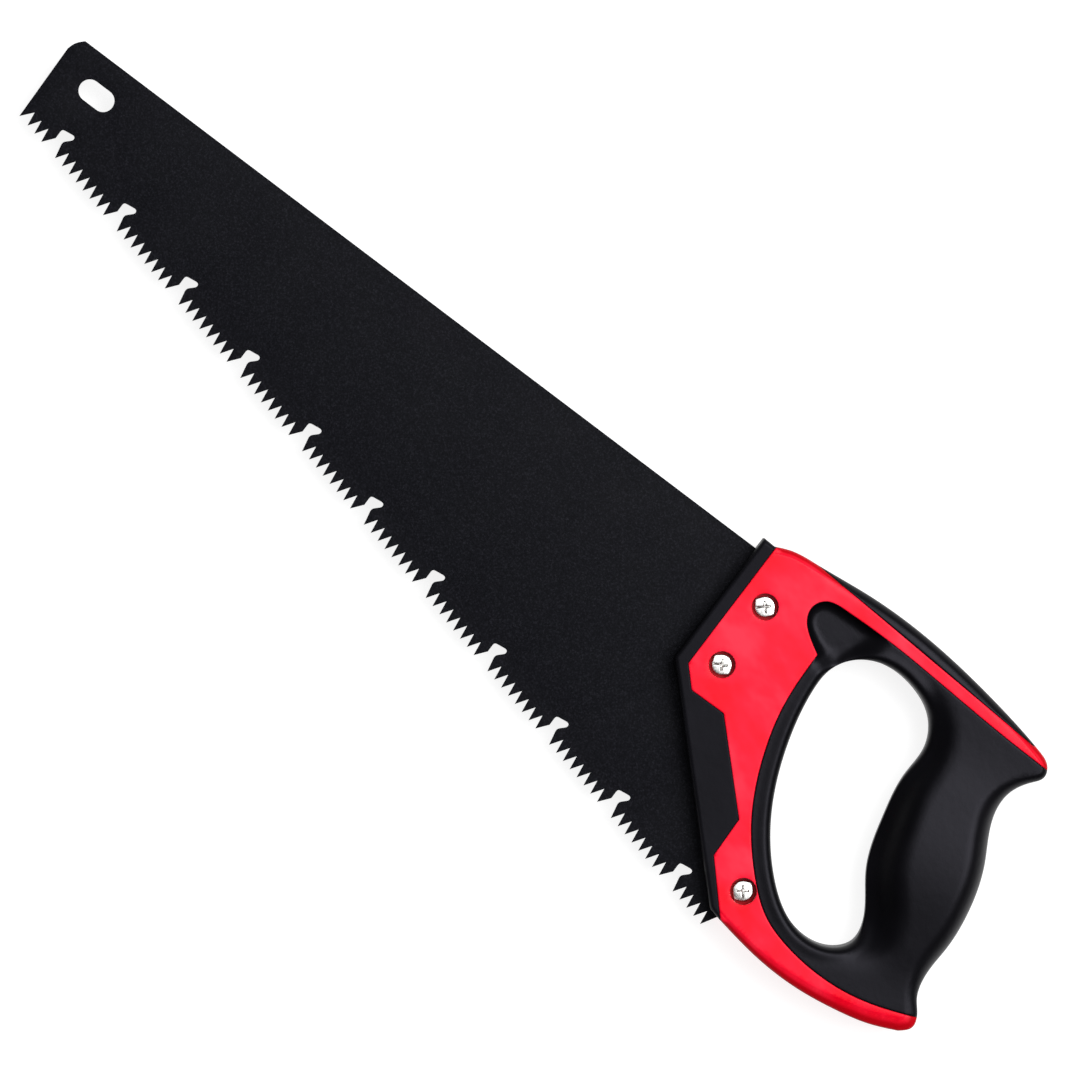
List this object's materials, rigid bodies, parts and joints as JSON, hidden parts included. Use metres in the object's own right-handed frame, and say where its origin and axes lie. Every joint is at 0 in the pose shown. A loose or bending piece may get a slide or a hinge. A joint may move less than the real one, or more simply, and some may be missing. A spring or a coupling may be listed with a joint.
{
  "type": "drywall hand saw",
  "caption": "One-hand saw for drywall and timber: a coated, straight-toothed blade with chip gullets, screwed into a closed soft-grip handle.",
  "frame": {"origin": "centre of the saw's bounding box, on the surface that its side lies on", "axes": "+X along the tooth line from toe to handle, +Y from the teeth towards the blade's back, +Z out of the blade's screw-head side"},
  "size_m": [0.4838, 0.1388, 0.029],
  "materials": {
    "blade_coating": "matte dark non-stick coating with a fine grain",
    "core_red": "satin moulded plastic, bright red",
    "grip_rubber": "semi-matte black soft rubber",
    "bumper_black": "smooth matte black soft plastic",
    "spine_rubber": "semi-matte black soft rubber",
    "screw_nickel": "bright nickel plate"
  },
  "bodies": {
    "root": {"blade": "blade_coating", "handle_core": "core_red", "grip_overmould": "grip_rubber", "front_bumper": "bumper_black", "spine_pad": "spine_rubber", "screw_1": "screw_nickel", "screw_2": "screw_nickel", "screw_3": "screw_nickel", "sleeve_nut_1": "screw_nickel", "sleeve_nut_2": "screw_nickel", "sleeve_nut_3": "screw_nickel"}
  },
  "joints": []
}
